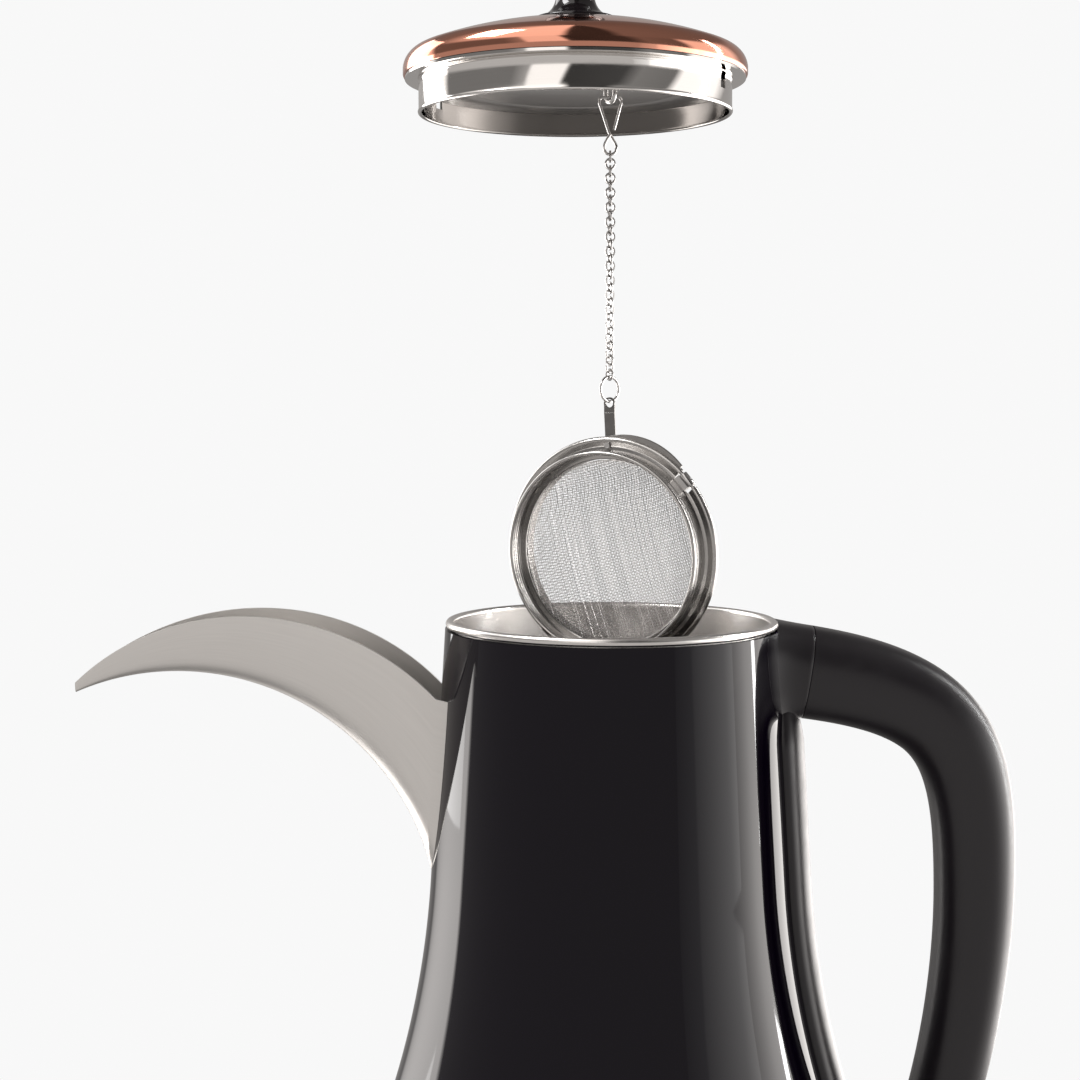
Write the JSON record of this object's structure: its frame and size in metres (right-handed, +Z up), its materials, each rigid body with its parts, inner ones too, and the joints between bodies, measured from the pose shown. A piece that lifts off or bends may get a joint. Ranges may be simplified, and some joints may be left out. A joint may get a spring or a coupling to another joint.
{
  "type": "electric arabic coffee maker",
  "caption": "Cordless electric coffee pot with a flared body, beak spout, C-shaped handle, domed lid with a hanging mesh strainer ball, and a power base with a knob and a button.",
  "frame": {"origin": "on the table, at the middle of the underside of the power base's foot ring, under the pot's axis", "axes": "+Z up, -X towards the spout, +X towards the handle, -Y towards the control console"},
  "size_m": [0.2292, 0.181, 0.3868],
  "materials": {
    "black_enamel": "gloss black coating",
    "spout_steel": "satin",
    "vessel_steel": "satin with a polished rim",
    "black_handle": "satin",
    "handle_filler": "matte",
    "zinc_steel": "zinc plated",
    "white_silicone": "matte",
    "cast_aluminium": "as cast",
    "element_sheath": "dull",
    "ceramic_cream": "matte",
    "fuse_metal": "satin",
    "black_plastic": "fine textured",
    "black_rubber": "matte",
    "copper": "mirror polished rose copper",
    "gloss_black": "gloss",
    "polished_steel": "mirror polished",
    "satin_steel": "satin",
    "bright_wire": "bright",
    "dark_tab": "dull",
    "ring_steel": "pressed and polished",
    "mesh_steel": "woven wire",
    "board_green": "satin",
    "switch_grey": "matte",
    "lamp_amber": "gloss",
    "lens_red": "gloss",
    "button_copper": "satin rose copper"
  },
  "bodies": {
    "power_base": {"base_housing": "black_plastic", "base_plate": "black_plastic", "base_foot": "black_rubber", "base_screws": "zinc_steel", "base_plug": "black_plastic", "cord_gland": "black_rubber", "control_board": "board_green", "rotary_switch": "switch_grey", "push_switch": "switch_grey", "indicator_lamp": "lamp_amber", "indicator_lens": "lens_red"},
    "knob": {"control_knob": "gloss_black", "knob_shaft": "zinc_steel"},
    "button": {"start_button": "button_copper"},
    "socket": {"pot_socket": "black_plastic"},
    "pot": {"outer_shell": "black_enamel", "inner_vessel": "vessel_steel", "spout": "spout_steel", "spout_seal": "white_silicone", "heating_plate": "cast_aluminium", "heating_element": "element_sheath", "thermostat": "ceramic_cream", "thermal_fuse": "fuse_metal", "standoff_posts": "zinc_steel", "bottom_cover": "black_plastic", "bottom_screws": "zinc_steel", "pot_foot": "black_rubber", "handle_spine": "black_handle", "handle_studs": "zinc_steel", "handle_core": "handle_filler", "grip_front": "black_handle", "grip_back": "black_handle"},
    "lid": {"lid_dome": "copper", "lid_skirt": "polished_steel", "lid_liner": "satin_steel", "lid_finial": "gloss_black", "finial_stud": "zinc_steel", "finial_nut": "zinc_steel", "finial_washer": "zinc_steel", "chain_eye": "bright_wire"},
    "clip": {"chain_clip": "bright_wire"},
    "upper_chain": {"chain_upper": "bright_wire"},
    "lower_chain": {"chain_lower": "bright_wire", "ball_link": "bright_wire"},
    "infuser_back": {"infuser_tab": "dark_tab", "tab_rivet": "bright_wire", "rear_ring": "ring_steel", "rear_mesh": "mesh_steel", "hinge_pin": "bright_wire"},
    "infuser_front": {"front_ring": "ring_steel", "front_mesh": "mesh_steel", "latch_tongue": "bright_wire"}
  },
  "joints": [
    {"name": "knob_turn", "type": "hinge", "parent": "power_base", "child": "knob", "pos_m": [0.021, -0.091, 0], "axis": [0, 0, -1], "range_deg": [0, 270]},
    {"name": "button_press", "type": "slide", "parent": "power_base", "child": "button", "axis": [0, 0, -1], "range_m": [0, 0.002], "stiffness_N_per_m": 400},
    {"name": "pot_lift", "type": "slide", "parent": "power_base", "child": "socket", "axis": [0, 0, 1], "range_m": [0, 0.08]},
    {"name": "pot_turn", "type": "hinge", "parent": "socket", "child": "pot", "pos_m": [0, 0, 0.0203], "axis": [0, 0, 1], "continuous": true},
    {"name": "lid_lift", "type": "slide", "parent": "pot", "child": "lid", "axis": [-0.0699, 0, 0.9976], "range_m": [-0.12871, 0.04]},
    {"name": "clip_swing", "type": "hinge", "parent": "lid", "child": "clip", "pos_m": [-0.0006, 0, 0.33325], "axis": [0, 1, 0], "range_deg": [-2, 2]},
    {"name": "chain_swing", "type": "hinge", "parent": "clip", "child": "upper_chain", "pos_m": [-0.0006, -0.0006, 0.31975], "axis": [1, 0, 0], "range_deg": [-2, 2]},
    {"name": "chain_bend", "type": "hinge", "parent": "upper_chain", "child": "lower_chain", "pos_m": [-0.0006, -0.0006, 0.2942], "axis": [0, 1, 0], "range_deg": [-2, 2]},
    {"name": "ball_swing", "type": "hinge", "parent": "lower_chain", "child": "infuser_back", "pos_m": [-0.0006, -0.0006, 0.26092], "axis": [1, 0, 0], "range_deg": [-5, 5]},
    {"name": "ball_open", "type": "hinge", "parent": "infuser_back", "child": "infuser_front", "pos_m": [0.01749, -0.01014, 0.24233], "axis": [-0.5978, 0.2731, 0.7537], "range_deg": [0, 120]}
  ]
}
